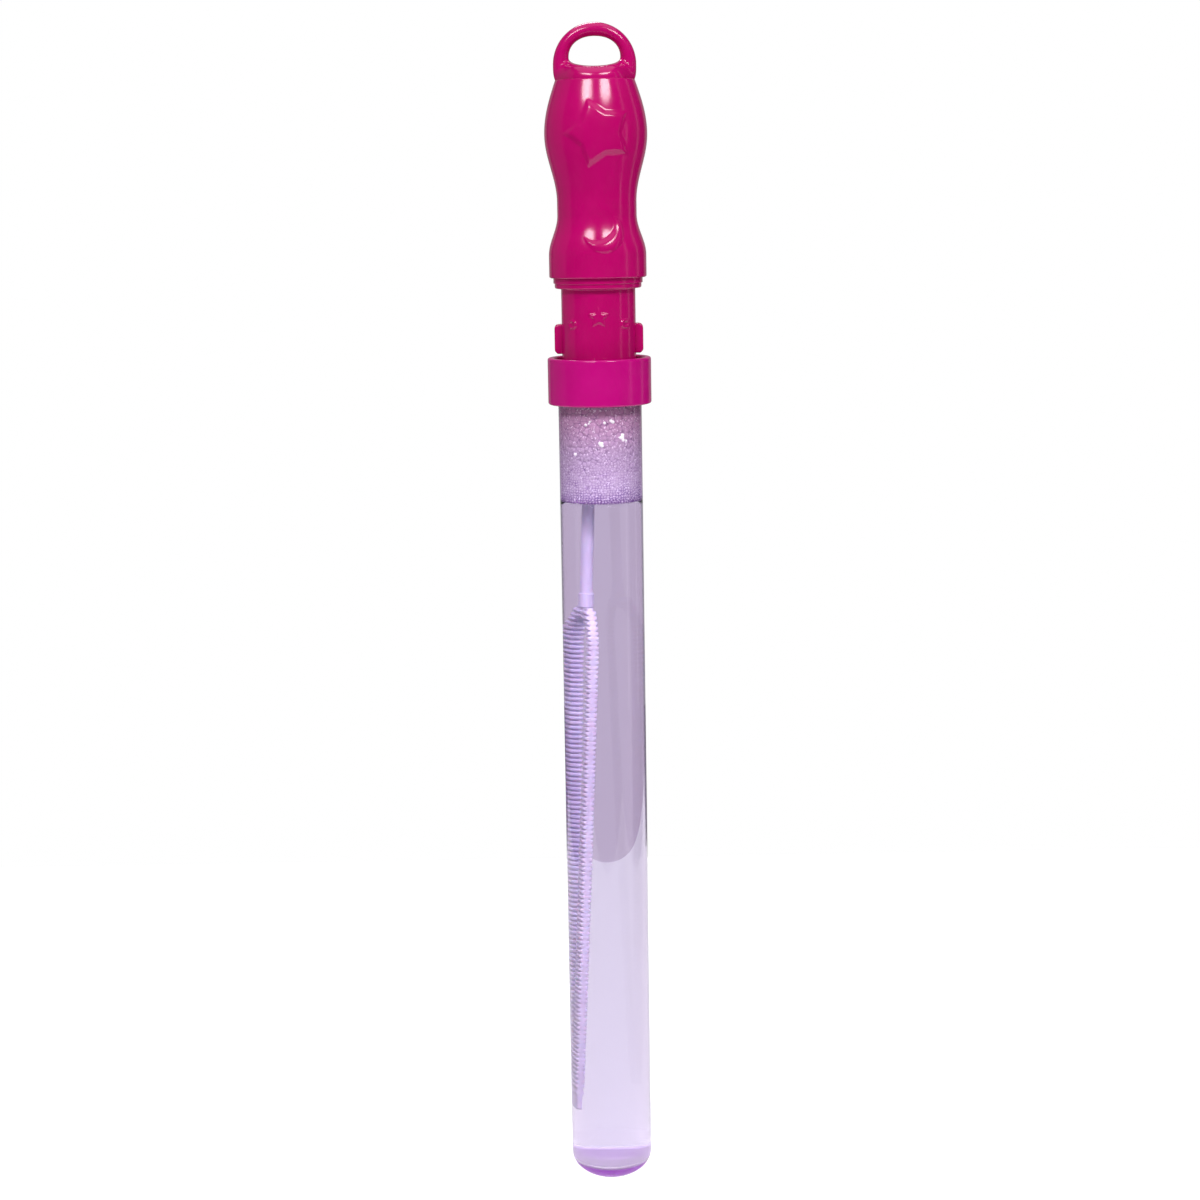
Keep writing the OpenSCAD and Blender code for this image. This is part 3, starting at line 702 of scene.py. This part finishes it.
neck_outer = rounded(
    [
        (NECK_BORE, NECK_FOOT),
        (NECK_R, NECK_FOOT),
        (NECK_R, SEAL_Z - GROOVE_H / 2),
        (GROOVE_R, SEAL_Z - GROOVE_H / 2),
        (GROOVE_R, SEAL_Z + GROOVE_H / 2),
        (NECK_R, SEAL_Z + GROOVE_H / 2),
        (NECK_R, LIP_FOOT),
        (LIP_R, LIP_FOOT),
        (LIP_R, LIP_STEP),
        (LIP_TOP_R, LIP_STEP),
        (LIP_TOP_R, LIP_TOP),
        (NECK_BORE, LIP_TOP),
    ],
    [0.2, 0.5, 0.2, 0.3, 0.3, 0.2, 0.5, 0.7, 0.3, 0.2, 0.15, 0.2],
    closed=True,
)
neck_profile = refined(neck_outer, 0.22, closed=True)
neck_a = np.linspace(0, 2 * np.pi, 288, endpoint=False)
neck_r = neck_profile[:, :1] + 0 * neck_a
neck_z = neck_profile[:, 1:] + 0 * neck_a
on_wall = np.abs(neck_profile[:, :1] - NECK_R) < 0.01
small_star = star_outline(SMALL_STAR_R, SMALL_STAR_R * 0.5, np.pi / 2)
front_x = neck_r * np.cos(neck_a)
across = np.where(np.sin(neck_a) < 0, front_x, -front_x)
neck_relief = SMALL_RELIEF * shoulder(depth_inside(across, neck_z - SMALL_STAR_Z, small_star), 0.9)
for pip in PIP_ANGLES:
    turn_away = (neck_a - pip + np.pi) % (2 * np.pi) - np.pi
    ring = np.hypot(turn_away * NECK_R * PIP_STRETCH, neck_z - PIP_Z) - PIP_R
    neck_relief = neck_relief + SMALL_RELIEF * half_wave(1 - np.abs(ring) / PIP_WALL)
neck_r = neck_r + np.where(on_wall, neck_relief, 0)
neck_skin = skin(np.stack([neck_r * np.cos(neck_a), neck_r * np.sin(neck_a), neck_z], axis=-1), closed=True)

# %% [markdown]
# Each lug is a small block, rounded on top and bevelled below, that stands out of the neck's side. Its
# outline is drawn once from the front and carried through its thickness, drawn in at both faces.

# %% Add the lugs
LUG_FOOT, LUG_H, LUG_REACH, LUG_T = COLLAR_TOP + 1.2, 9.3, 13.9, 3.6
LUG_TOP = LUG_FOOT + LUG_H
LUG_EDGE = 0.6


def pillow(outline, half_depth, edge):
    """An outline in x and z carried along y; within edge of each face it draws in along a quarter circle."""
    s = np.linspace(-np.pi / 2, np.pi / 2, 15)
    y = half_depth * np.sign(s) * (1 - (1 - np.abs(s) / (np.pi / 2)) ** 2)
    over = np.clip((np.abs(y) - (half_depth - edge)) / edge, 0, 1)
    inset = edge * (1 - np.sqrt(1 - over**2))
    middle = outline.mean(axis=0)
    size = np.linalg.norm(outline - middle, axis=1).mean()
    shrunk = middle + (outline - middle)[None] * (1 - inset / size)[:, None, None]
    return np.stack([shrunk[..., 0], y[:, None] + 0 * shrunk[..., 0], shrunk[..., 1]], axis=-1)


lug_outline = rounded(
    [
        (NECK_R - 1.2, LUG_FOOT),
        (LUG_REACH - 0.9, LUG_FOOT),
        (LUG_REACH, LUG_FOOT + 0.9),
        (LUG_REACH, LUG_TOP),
        (NECK_R - 1.2, LUG_TOP),
    ],
    [0.1, 0.3, 0.5, 1.6, 0.1],
    closed=True,
)
lug_grid = pillow(lug_outline, LUG_T / 2, LUG_EDGE)
neck_skins = [neck_skin, skin(lug_grid), skin(lug_grid * [-1, -1, 1])]
make_piece("neck_wall", neck_skins, "handle_body", GLOSSY_PINK, ["neck"])

# %% [markdown]
# The end plug closes the neck from below and holds the stem; the seal ring sits in the neck's groove.

# %% Turn the end plug and the seal ring
PLUG_FOOT, PLUG_TOP = span("end_plug")
PLUG_FLANGE_TOP = NECK_FOOT
PLUG_R, PLUG_SPIGOT_R = 11.6, 9.15
SEAL_RING_R, SEAL_D = 11.05, 1.9

plug_profile = rounded(
    [
        (AXIS_GAP, PLUG_FOOT),
        (PLUG_R, PLUG_FOOT),
        (PLUG_R, PLUG_FLANGE_TOP),
        (PLUG_SPIGOT_R, PLUG_FLANGE_TOP),
        (PLUG_SPIGOT_R, PLUG_TOP),
        (AXIS_GAP, PLUG_TOP),
    ],
    [0, 0.5, 0.2, 0.2, 0.5, 0],
)
plug_skin = turned(refined(plug_profile, 1.0), 96)
make_piece("plug_disc", [plug_skin], "handle_body", GLOSSY_PINK, ["end_plug"])
ring_a = np.linspace(0, 2 * np.pi, 24, endpoint=False)
ring_profile = np.stack([np.cos(ring_a), np.sin(ring_a)], axis=-1) * SEAL_D / 2 + [SEAL_RING_R, SEAL_Z]
seal_skin = turned(ring_profile, 96, closed=True)
make_piece("seal_ring", [seal_skin], "seal_body", SEAL_RUBBER, ["plug_seal"])

# %% [markdown]
# ## The grip
# A waisted hollow shell with a raised star above and a crescent moon below, repeated on the back. Along
# the height its radius is a chain of cosine waves. The star rises along a rounded shoulder and is flat on
# top; the moon is puffy, and is the moon's circle less a second circle that bites into it.

# %% The grip's side and its emblems
GRIP_FOOT, GRIP_TOP = span("grip")
GRIP_H, GRIP_WALL = GRIP_TOP - GRIP_FOOT, 1.8
LOWER_R, LOWER_RISE = 15.2, 6.8
WAIST_R, WAIST_LOW, WAIST_HIGH = 12.35, 19.3, 23.3
UPPER_R, UPPER_RISE, CROWN_R = 15.95, 44.0, 12.3
GRIP_EDGE = 0.45
RELIEF, STAR_SHOULDER, MOON_SHOULDER = 0.68, 2.2, 1.9
STAR_R, STAR_INNER_R, STAR_X, STAR_Z = 11.5, 7.4, 0.9, GRIP_FOOT + UPPER_RISE
MOON_R, MOON_X, MOON_Z = 6.2, 2.1, GRIP_FOOT + 13.8
BITE_R, BITE_SHIFT, BITE_ANGLE = 5.3, 3.9, math.radians(128)


def grip_radius(z):
    """Level foot, half a wave in to the waist, half a wave out to the swell, quarter wave to the crown."""
    up = z - GRIP_FOOT
    r = LOWER_R + (WAIST_R - LOWER_R) * half_wave((up - LOWER_RISE) / (WAIST_LOW - LOWER_RISE))
    r = r + (UPPER_R - WAIST_R) * half_wave((up - WAIST_HIGH) / (UPPER_RISE - WAIST_HIGH))
    t = np.clip((up - UPPER_RISE) / (GRIP_H - UPPER_RISE), 0, 1)
    return np.where(up > UPPER_RISE, CROWN_R + (UPPER_R - CROWN_R) * np.cos(np.pi / 2 * t), r)


def emblem_relief(x, z):
    """Height of the star and the moon over the grip, by the depth inside each outline."""
    star = depth_inside(x - STAR_X, z - STAR_Z, star_outline(STAR_R, STAR_INNER_R, np.pi))
    disc = MOON_R - np.hypot(x - MOON_X, z - MOON_Z)
    bite_x = MOON_X + BITE_SHIFT * math.cos(BITE_ANGLE)
    bite_z = MOON_Z + BITE_SHIFT * math.sin(BITE_ANGLE)
    moon = np.minimum(disc, np.hypot(x - bite_x, z - bite_z) - BITE_R)
    return RELIEF * np.maximum(half_wave(star / STAR_SHOULDER), shoulder(moon, MOON_SHOULDER))


# %% Shape the grip
GRIP_COLS, GRIP_ROWS = 360, 215
grip_a = np.linspace(0, 2 * np.pi, GRIP_COLS, endpoint=False)
out_z = np.linspace(GRIP_FOOT, GRIP_FOOT + GRIP_H, GRIP_ROWS)
foot_in = GRIP_EDGE * (1 - np.sqrt(1 - np.clip(1 - (out_z - GRIP_FOOT) / GRIP_EDGE, 0, 1) ** 2))
out_r = (grip_radius(out_z) - foot_in)[:, None] + 0 * grip_a
out_x = out_r * np.cos(grip_a)
facing_x = np.where(np.sin(grip_a) < 0, out_x, -out_x)
out_r = out_r + emblem_relief(facing_x, out_z[:, None])
in_z = np.linspace(GRIP_FOOT + GRIP_H - 0.3, GRIP_FOOT + 0.1, 24)
in_r = (grip_radius(in_z) - GRIP_WALL)[:, None] + 0 * grip_a
grip_r, grip_z = np.concatenate([out_r, in_r]), np.concatenate([out_z, in_z])[:, None] + 0 * grip_a
grip_grid = np.stack([grip_r * np.cos(grip_a), grip_r * np.sin(grip_a), grip_z], axis=-1)
grip_skin = skin(grip_grid, closed=True)
make_piece("grip_shell", [grip_skin], "handle_body", GLOSSY_PINK, ["grip"])

# %% [markdown]
# ## The hanging loop
# A rounded bar bends over from one side of the grip's crown to the other and deepens below into a thick
# base that covers the crown. The surface runs between two outlines, the outside of the loop and the rim of
# its hole. At each place round the loop a closed section joins the two: an ellipse in the bar, and boxier
# and deeper the lower it lies.

# %% Shape the hanging loop
LOOP_TOP = span("hanging_loop")[1]
LOOP_HALF_W, LOOP_WIDE_Z = 12.85, GRIP_TOP + 4.6
HOLE_HALF_W, HOLE_LOW, HOLE_HIGH, HOLE_WIDE_Z = 7.95, GRIP_TOP + 4.0, LOOP_TOP - 4.2, GRIP_TOP + 6.8
BAR_HALF = 2.45
BASE_Z = GRIP_TOP - 4.0  # the base sinks into the crown, so no gap shows
LOW_POWER, HOLE_POWER = 0.625, 0.92  # boxiness of the outside's lower half and of the hole
BOX_OUTSIDE, BOX_INSIDE = 0.88, 0.68  # how boxy the base's section gets towards the crown and the hole
FLARE_END = 0.9  # where, in the lower half's sine, the bar has deepened to the full crown


def power_wave(wave, power):
    """A sine or cosine raised to a power with its sign kept: powers under one make a shape boxy."""
    return np.sign(wave) * np.abs(wave) ** power


round_a = np.linspace(0, 2 * np.pi, 240, endpoint=False)[:, None]
section_a = np.linspace(0, 2 * np.pi, 72, endpoint=False)[None, :]
cos_a, sin_a = np.cos(round_a), np.sin(round_a)
outer_power = np.where(sin_a < 0, LOW_POWER, 1.0)
outer_x = LOOP_HALF_W * power_wave(cos_a, outer_power)
outer_reach = np.where(sin_a < 0, LOOP_WIDE_Z - BASE_Z, LOOP_TOP - LOOP_WIDE_Z)
outer_z = LOOP_WIDE_Z + outer_reach * power_wave(sin_a, outer_power)
hole_x = HOLE_HALF_W * power_wave(cos_a, HOLE_POWER)
hole_reach = np.where(sin_a >= 0, HOLE_HIGH - HOLE_WIDE_Z, HOLE_WIDE_Z - HOLE_LOW)
hole_z = HOLE_WIDE_Z + hole_reach * power_wave(sin_a, HOLE_POWER)
outward = np.cos(section_a)
share = (1 + outward) / 2
bar_x = hole_x + (outer_x - hole_x) * share
bar_z = hole_z + (outer_z - hole_z) * share
seat_half = np.sqrt(np.clip(CROWN_R**2 - bar_x**2, 0, None))
flare = half_wave(-sin_a / FLARE_END)
half_depth = BAR_HALF + flare * np.clip(seat_half - BAR_HALF, 0, None)
boxy = flare * seat_half / CROWN_R
bulge_power = 1 - np.where(outward > 0, BOX_OUTSIDE, BOX_INSIDE) * boxy
bulge = power_wave(np.sin(section_a), bulge_power)
loop_grid = np.stack([bar_x, half_depth * bulge, bar_z], axis=-1)
loop_skin = skin(loop_grid, closed=True)
make_piece("loop_bar", [loop_skin], "handle_body", GLOSSY_PINK, ["hanging_loop"])

# %% [markdown]
# ## The wand
# A round stem hangs from the end plug, leaning a little, and ends in a ferrule that holds the ribbed loop.
# Both are made upright along their own line and then leaned together about the socket in the end plug.

# %% The wand's own line
SOCKET = np.array([-2.1, 0.0, (PLUG_FOOT + PLUG_TOP) / 2])
TIP_X, TIP_Z = -9.277, FLOOR_Z + 16.0
WAND_LEAN = math.atan2(SOCKET[0] - TIP_X, SOCKET[2] - TIP_Z)
STEM_R, FERRULE_R, FERRULE_H = 1.55, 1.9, 4.5
STEM_UP, STEM_DROP = 3.6, SOCKET[2] - (TUBE_TOP - 71.2)


def leaned(points):
    """Turns points about the y axis by the lean and moves them from the socket's own frame into place."""
    c, s = math.cos(WAND_LEAN), math.sin(WAND_LEAN)
    x, y, z = points[..., 0], points[..., 1], points[..., 2]
    return np.stack([c * x + s * z, y, c * z - s * x], axis=-1) + SOCKET


stem_profile = rounded(
    [
        (AXIS_GAP, -STEM_DROP),
        (FERRULE_R, -STEM_DROP),
        (FERRULE_R, -STEM_DROP + FERRULE_H),
        (STEM_R, -STEM_DROP + FERRULE_H),
        (STEM_R, STEM_UP),
        (AXIS_GAP, STEM_UP),
    ],
    [0, 0.3, 0.3, 0.2, 0.3, 0],
)
stem_points, stem_faces = turned(refined(stem_profile, 2.0), 48)
stem_skin = (leaned(stem_points), stem_faces)
make_piece("stem_rod", [stem_skin], "handle_body", PALE_LILAC, ["wand_stem"])

# %% [markdown]
# The ribbed loop is two long rails that meet under the ferrule and again at the tip. Ribs wrap the two
# faces and the inner edge of each rail, to hold the solution, while the outer edge stays smooth. Each rail
# is a rounded section carried down the loop, and a repeating rib wave thickens it.

# %% Carry the ribbed rails down the loop
LOOP_LEN = (SOCKET[2] - TIP_Z) / math.cos(WAND_LEAN) - STEM_DROP
SHOULDER_H, TOP_HALF, WIDE_HALF, TIP_HALF = 12.0, 4.0, 8.5, 2.8
RAIL_W, RAIL_T, CORE_T = 3.4, 3.4, 2.1
RIB_PITCH, RIB_ROOT, RIB_SLOPE, RIB_START = 1.55, 1.25, 0.15, 0.8
GAP_START, GAP_END = 2.5, LOOP_LEN - 6.0
BLADE_TURN = math.radians(11.5)
INNER_RIB = 0.55


def rail_half_width(s):
    """Quarter sine from the ferrule out to the widest place, then straight in to the tip."""
    shoulder_part = TOP_HALF + (WIDE_HALF - TOP_HALF) * np.sin(np.pi / 2 * np.clip(s / SHOULDER_H, 0, 1))
    t = np.clip((s - SHOULDER_H) / (LOOP_LEN - SHOULDER_H), 0, 1)
    return np.where(s < SHOULDER_H, shoulder_part, WIDE_HALF + (TIP_HALF - WIDE_HALF) * t)


def rib_wave(s):
    """One on a rib and nought between ribs, with short slopes, repeated every pitch."""
    at = np.mod(s - RIB_START, RIB_PITCH)
    up = np.clip(at / RIB_SLOPE, 0, 1) * np.clip((RIB_ROOT - at) / RIB_SLOPE, 0, 1)
    return np.where((s > RIB_START) & (s < GAP_END + 1), up, 0.0)


rib_marks = np.array([0, RIB_SLOPE, RIB_ROOT / 2, RIB_ROOT - RIB_SLOPE, RIB_ROOT])
rib_count = int((GAP_END - RIB_START) / RIB_PITCH)
rib_s = (RIB_START + np.arange(rib_count)[:, None] * RIB_PITCH + rib_marks[None, :]).ravel()
rail_s = np.unique(np.concatenate([np.linspace(0, RIB_START, 4), rib_s, np.linspace(GAP_END, LOOP_LEN, 12)]))
ribs = rib_wave(rail_s)[:, None]
outer_edge = rail_half_width(rail_s)[:, None]
meet_top = half_wave((rail_s - GAP_START) / 2.0)[:, None]
meet_tip = half_wave((GAP_END - rail_s) / 2.0)[:, None]
inner_edge = (outer_edge - RAIL_W + INNER_RIB * (1 - ribs)) * meet_top * meet_tip - 0.05
half_thick = (CORE_T + (RAIL_T - CORE_T) * ribs) / 2
rail_a = np.linspace(0, 2 * np.pi, 28, endpoint=False)[None, :]
rail_x = half_thick * power_wave(np.sin(rail_a), 0.45)
rail_y = (outer_edge + inner_edge) / 2 + (outer_edge - inner_edge) / 2 * power_wave(np.cos(rail_a), 0.45)
rail_grid = np.stack([rail_x, rail_y, -STEM_DROP - rail_s[:, None] + 0 * rail_a], axis=-1)


def blade_turned(points):
    """Turns the loop's points about its own length."""
    c, s = math.cos(BLADE_TURN), math.sin(BLADE_TURN)
    x, y = points[..., 0], points[..., 1]
    return np.stack([c * x - s * y, s * x + c * y, points[..., 2]], axis=-1)


rail_skins = [skin(leaned(blade_turned(rail_grid * [1, way, 1]))) for way in (1, -1)]
make_piece("ribbed_rails", rail_skins, "handle_body", PALE_LILAC, ["ribbed_loop"])
print("ribs on each rail:", rib_count)

# %% [markdown]
# ## The studio
# The wand stands on a white table. The table ends not far behind it, and through the lower part of the
# tube one sees the table, through the upper part the pale grey room: that is the curved edge in the
# solution. The camera itself sees white everywhere. Two soft boxes high in front make the highlights, and
# a weaker one lights the back.

# %% The table
TABLE_HALF = 0.384
FLOOR_GLOW, FLOOR_GLOW_FOR_CAMERA = 0.22, 0.55
floor_mesh = bpy.data.meshes.new("table_top")
corners = np.array([[-1, -1, 0], [1, -1, 0], [1, 1, 0], [-1, 1, 0]]) * TABLE_HALF
floor_mesh.from_pydata(corners.tolist(), [], [[0, 1, 2, 3]])
floor_finish = bpy.data.materials.new("white_table")
floor_finish.use_nodes = True
floor_shader = floor_finish.node_tree.nodes["Principled BSDF"]
floor_shader.inputs["Base Color"].default_value = (0.8, 0.8, 0.8, 1)
floor_shader.inputs["Roughness"].default_value = 0.9
floor_shader.inputs["Specular IOR Level"].default_value = 0.1
floor_shader.inputs["Emission Color"].default_value = (1, 1, 1, 1)
floor_tree = floor_finish.node_tree
floor_glow = floor_tree.nodes.new("ShaderNodeMapRange")
floor_glow.inputs["To Min"].default_value = FLOOR_GLOW
floor_glow.inputs["To Max"].default_value = FLOOR_GLOW_FOR_CAMERA
floor_ray = floor_tree.nodes.new("ShaderNodeLightPath")
floor_tree.links.new(floor_ray.outputs["Is Camera Ray"], floor_glow.inputs["Value"])
floor_tree.links.new(floor_glow.outputs["Result"], floor_shader.inputs["Emission Strength"])
floor_mesh.materials.append(floor_finish)
table_top = bpy.data.objects.new("table_top", floor_mesh)
scene.collection.objects.link(table_top)
print("table:", 2 * TABLE_HALF, "m wide")

# %% The room
ROOM_LIGHT, ROOM_IN_GLOSS, ROOM_IN_GLASS, ROOM_FOR_CAMERA = 0.42, 0.015, 1.0, 1.0
world = bpy.data.worlds.new("white_room")
scene.world = world
world.use_nodes = True
sky = world.node_tree
background = sky.nodes["Background"]
background.inputs["Color"].default_value = (1, 1, 1, 1)
ray = sky.nodes.new("ShaderNodeLightPath")
level = None
for ray_kind, strength in (
    ("Is Glossy Ray", ROOM_IN_GLOSS),
    ("Is Transmission Ray", ROOM_IN_GLASS),
    ("Is Camera Ray", ROOM_FOR_CAMERA),
):
    choose = sky.nodes.new("ShaderNodeMix")
    choose.inputs["A"].default_value = ROOM_LIGHT
    choose.inputs["B"].default_value = strength
    sky.links.new(ray.outputs[ray_kind], choose.inputs["Factor"])
    if level:
        sky.links.new(level, choose.inputs["A"])
    level = choose.outputs["Result"]
sky.links.new(level, background.inputs["Strength"])
print("room light:", ROOM_LIGHT, "and for the camera:", ROOM_FOR_CAMERA)

# %% [markdown]
# A pale grey card stands at the table's far edge and darker ones at its sides, for the light that is bent
# through the tube: they grey the solution and darken the tube's edges. Upright cards round the wand are met
# by reflections only and draw the upright lines that tell the eye the pink plastic is glossy.


# %% The cards
def glow_card(name, foot, level, tint=(1, 1, 1), reach=(0, 0, 0.9), in_gloss=False, in_glass=False):
    """A strip from a line of points as far as reach, which glows evenly and is met by the named rays only."""
    foot = np.asarray(foot, float)
    points = np.concatenate([foot, foot + reach])
    n = len(foot)
    faces = [[k, k + 1, n + k + 1, n + k] for k in range(n - 1)]
    mesh = bpy.data.meshes.new(name)
    mesh.from_pydata(points.tolist(), [], faces)
    material = bpy.data.materials.new(name)
    material.use_nodes = True
    shader = material.node_tree.nodes["Principled BSDF"]
    shader.inputs["Base Color"].default_value = (0, 0, 0, 1)
    shader.inputs["Specular IOR Level"].default_value = 0
    shader.inputs["Emission Color"].default_value = (*tint, 1)
    shader.inputs["Emission Strength"].default_value = level
    mesh.materials.append(material)
    card = bpy.data.objects.new(name, mesh)
    card.visible_camera = card.visible_diffuse = card.visible_shadow = False
    card.visible_glossy, card.visible_transmission = in_gloss, in_glass
    scene.collection.objects.link(card)


def arc(from_azimuth, to_azimuth, reach):
    """Points on a circle round the wand; azimuth 0 is in front, positive to the right."""
    a = np.radians(np.linspace(from_azimuth, to_azimuth, 9))
    return np.stack([reach * np.sin(a), -reach * np.cos(a), 0 * a], axis=-1)


CARD_REACH, EDGE_REACH = 0.75, 0.40
BACKDROP_HALF_W, CEILING_HALF_W, CEILING_Z = 1.5, 0.6, 1.3
for card_name, start, end, level in (
    ("left_card", -134, -80, 0.15),
    ("right_line", 70, 74, 0.9),
    ("right_far_line", 106, 111, 0.6),
    ("back_card", 142, 218, 0.3),
):
    glow_card(card_name, arc(start, end, CARD_REACH), level, in_gloss=True)
glow_card("left_edge_card", arc(-132, -84, EDGE_REACH), 0.28, in_glass=True)
glow_card("right_edge_card", arc(84, 132, EDGE_REACH), 0.22, in_glass=True)
backdrop_foot = [(-BACKDROP_HALF_W, TABLE_HALF, 0), (BACKDROP_HALF_W, TABLE_HALF, 0)]
glow_card("grey_backdrop", backdrop_foot, 0.64, tint=(1.0, 0.90, 1.0), in_glass=True)
ceiling_edge = [(-CEILING_HALF_W, -CEILING_HALF_W, CEILING_Z), (CEILING_HALF_W, -CEILING_HALF_W, CEILING_Z)]
glow_card("ceiling_card", ceiling_edge, 0.8, reach=(0, 2 * CEILING_HALF_W, 0), in_gloss=True)
print("cards: 8")


# %% The soft boxes
def soft_box(name, azimuth, elevation, reach, width, height, power):
    """An oval lamp on a sphere round the grip, aimed at it; azimuth 0 is in front, positive right."""
    target = Vector((0, 0, 0.30))
    a, e = math.radians(azimuth), math.radians(elevation)
    way = Vector((math.sin(a) * math.cos(e), -math.cos(a) * math.cos(e), math.sin(e)))
    data = bpy.data.lights.new(name, "AREA")
    data.shape = "ELLIPSE"
    data.size, data.size_y = width, height
    data.energy = power
    lamp = bpy.data.objects.new(name, data)
    aimed = way.to_track_quat("Z", "Y").to_matrix().to_4x4()
    lamp.matrix_world = Matrix.Translation(target + way * reach) @ aimed
    lamp.visible_camera = False
    scene.collection.objects.link(lamp)
    return lamp


soft_box("left_box", -24, 40, 1.0, 0.40, 0.20, 4.0)
soft_box("right_box", 30, 40, 1.0, 0.40, 0.20, 4.0)
soft_box("back_box", 190, 48, 1.0, 0.40, 0.20, 3.0)
print("lamps: 3")
